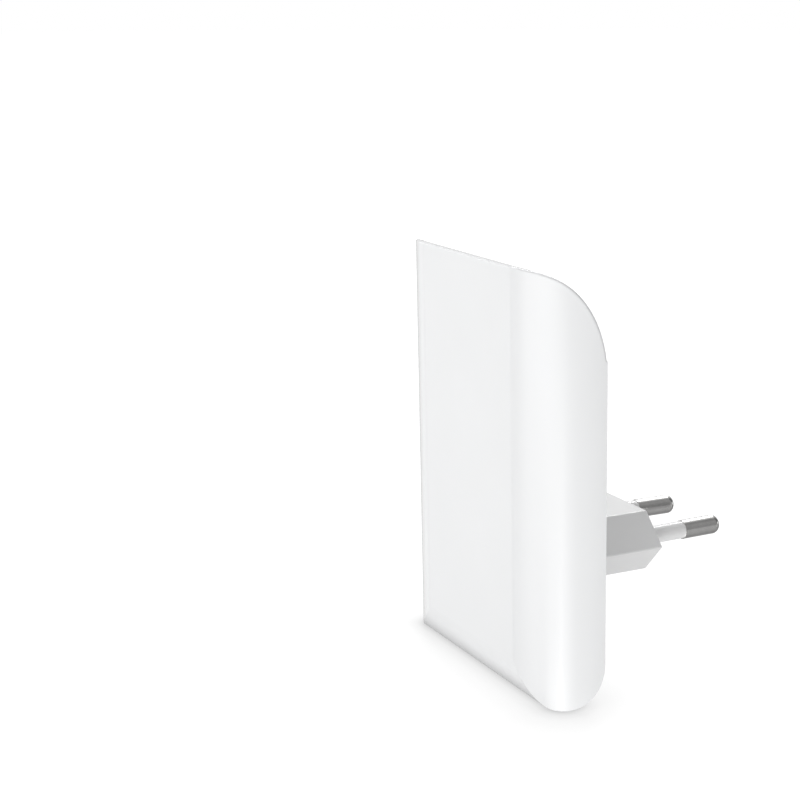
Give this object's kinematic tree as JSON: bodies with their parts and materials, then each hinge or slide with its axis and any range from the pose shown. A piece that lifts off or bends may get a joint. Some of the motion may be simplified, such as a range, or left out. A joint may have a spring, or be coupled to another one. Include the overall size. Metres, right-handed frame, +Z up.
{
  "type": "plug in night light",
  "caption": "Plug in night light: a plain white curved shield, open at its scooped top, over a slim rear housing with a hexagonal mains plug block.",
  "frame": {"origin": "centre of the plug block's end face, between its two pins", "axes": "+Y into the socket along the plug, +Z up, +X to the right seen from the front"},
  "size_m": [0.0694, 0.0542, 0.085],
  "materials": {
    "shield_plastic": "satin white",
    "housing_plastic": "satin white",
    "plated_brass": "bright nickel plate",
    "sleeve_plastic": "off white",
    "blue_insulation": "satin",
    "brown_insulation": "satin",
    "screw_steel": "zinc plated",
    "board_laminate": "white solder mask",
    "led_body": "white body with a yellow phosphor window",
    "reflector_plastic": "bright white",
    "lens_plastic": "frosted",
    "sensor_resin": "clear resin",
    "hood_rubber": "matt black",
    "window_plastic": "smoke tint",
    "film_case": "dipped epoxy",
    "can_sleeve": "shrink sleeve",
    "resistor_coat": "baked lacquer",
    "black_moulding": "moulded epoxy",
    "chip_ceramic": "glazed",
    "diode_glass": "tinted glass"
  },
  "bodies": {
    "root": {"front_cover": "shield_plastic", "rear_housing": "housing_plastic", "pin_left": "plated_brass", "pin_right": "plated_brass", "sleeve_left": "sleeve_plastic", "sleeve_right": "sleeve_plastic", "lead_left": "blue_insulation", "lead_right": "brown_insulation", "pin_carrier": "housing_plastic", "carrier_screw": "screw_steel", "cover_screws": "screw_steel", "board_screws": "screw_steel", "circuit_board": "board_laminate", "leds": "led_body", "reflector": "reflector_plastic", "diffuser_lens": "lens_plastic", "light_sensor": "sensor_resin", "sensor_hood": "hood_rubber", "sensor_window": "window_plastic", "dropper_capacitor": "film_case", "smoothing_capacitor": "can_sleeve", "fusible_resistor": "resistor_coat", "bridge_rectifier": "black_moulding", "chip_resistors": "chip_ceramic", "zener_diode": "diode_glass", "transistor": "black_moulding"}
  },
  "joints": []
}
